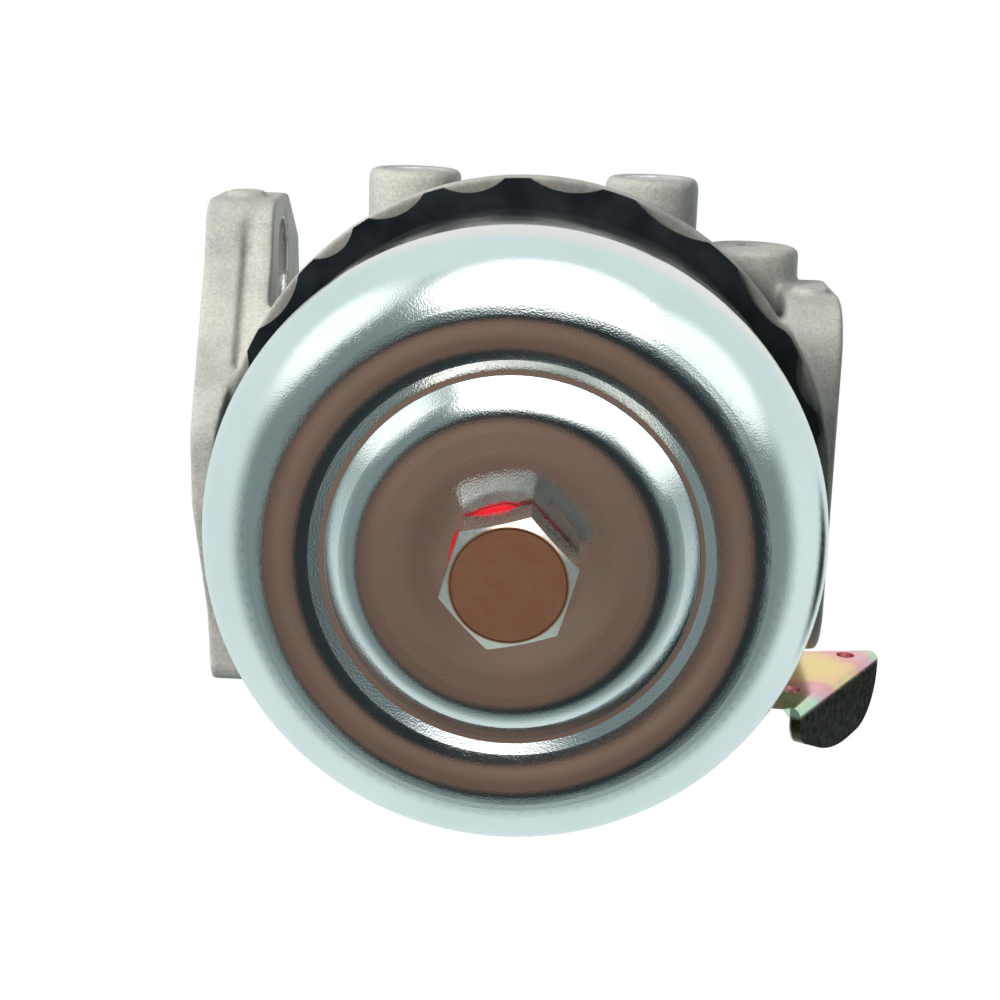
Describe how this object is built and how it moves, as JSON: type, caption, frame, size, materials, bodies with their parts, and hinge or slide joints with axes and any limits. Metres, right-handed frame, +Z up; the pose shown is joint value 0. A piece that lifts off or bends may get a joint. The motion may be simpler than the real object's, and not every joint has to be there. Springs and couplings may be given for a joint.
{
  "type": "carburetor",
  "caption": "Side-draft float-bowl carburetor for a small engine, with a slotted engine flange, throttle and choke, bright pressed bowl and centre bowl bolt.",
  "frame": {"origin": "centre of the bore on the engine flange's mounting face", "axes": "+X along the bore from the engine towards the air inlet, +Z up, the float bowl below"},
  "size_m": [0.0904, 0.0845, 0.1045],
  "materials": {
    "cast_aluminium": "sand-cast, fine grain",
    "zinc_plate": "bright zinc plate, pressed steel",
    "bolt_steel": "nickel-bright, chamfered",
    "black_rubber": "matte",
    "red_fibre": "vulcanised fibre",
    "yellow_chromate": "iridescent yellow chromate on steel",
    "brass": "turned",
    "shaft_steel": "turned",
    "spring_steel": "drawn wire, zinc plate",
    "bronze": "sintered",
    "felt": "pressed felt",
    "float_plastic": "closed-cell moulded"
  },
  "bodies": {
    "casting": {"body_casting": "cast_aluminium", "float_bowl": "zinc_plate", "bowl_gasket": "black_rubber", "bowl_bolt": "bolt_steel", "bowl_bolt_washer": "red_fibre", "column_gasket": "red_fibre", "main_nozzle": "brass", "main_jet": "brass", "main_mixture_spring": "spring_steel", "idle_mixture_spring": "spring_steel", "throttle_shaft_bushings": "bronze", "throttle_shaft_seal": "felt", "choke_shaft_washer": "felt", "choke_detent_ball": "shaft_steel", "choke_detent_spring": "spring_steel", "choke_detent_plug": "shaft_steel", "float_hinge_pin": "shaft_steel", "inlet_seat": "brass", "inlet_seat_gasket": "red_fibre", "fuel_inlet_elbow": "brass", "passage_plugs": "shaft_steel", "idle_chamber_plug": "shaft_steel", "bowl_vent_tube": "brass"},
    "throttle": {"throttle_shaft": "shaft_steel", "throttle_plate": "brass", "throttle_plate_screws": "brass", "throttle_lever": "yellow_chromate", "throttle_lever_screw": "shaft_steel", "idle_speed_spring": "spring_steel"},
    "speed_screw": {"idle_speed_screw": "shaft_steel"},
    "choke": {"choke_shaft": "shaft_steel", "choke_plate": "brass", "choke_plate_screws": "brass", "choke_lever": "yellow_chromate"},
    "float_lever": {"float": "float_plastic", "float_arm": "brass"},
    "inlet_valve": {"inlet_needle": "shaft_steel"},
    "main_needle": {"main_mixture_needle": "brass"},
    "idle_needle": {"idle_mixture_needle": "brass"}
  },
  "joints": [
    {"name": "throttle_turn", "type": "hinge", "parent": "casting", "child": "throttle", "pos_m": [0.014, 0, 0], "axis": [0, 0, -1], "range_deg": [0, 78]},
    {"name": "speed_screw_turn", "type": "hinge", "parent": "throttle", "child": "speed_screw", "pos_m": [0.0267, 0, 0.0269], "axis": [0, 1, 0], "range_deg": [-360, 720]},
    {"name": "choke_turn", "type": "hinge", "parent": "casting", "child": "choke", "pos_m": [0.0701, 0, 0], "axis": [0, -1, 0], "range_deg": [0, 80]},
    {"name": "float_swing", "type": "hinge", "parent": "casting", "child": "float_lever", "pos_m": [0.0415, 0.0275, -0.022], "axis": [1, 0, 0], "range_deg": [0, 8]},
    {"name": "inlet_needle_slide", "type": "slide", "parent": "casting", "child": "inlet_valve", "axis": [0, 0, -1], "range_m": [0, 0.0013]},
    {"name": "main_needle_turn", "type": "hinge", "parent": "casting", "child": "main_needle", "pos_m": [0.0415, 0, 0.03], "axis": [0, 0, 1], "range_deg": [-540, 720]},
    {"name": "idle_needle_turn", "type": "hinge", "parent": "casting", "child": "idle_needle", "pos_m": [0.009, 0.0096, 0.02], "axis": [0, 0, 1], "range_deg": [-540, 720]}
  ],
  "couplings": [
    {"joint": "inlet_needle_slide", "follows": "float_swing", "m_per_rad": 0.008}
  ]
}
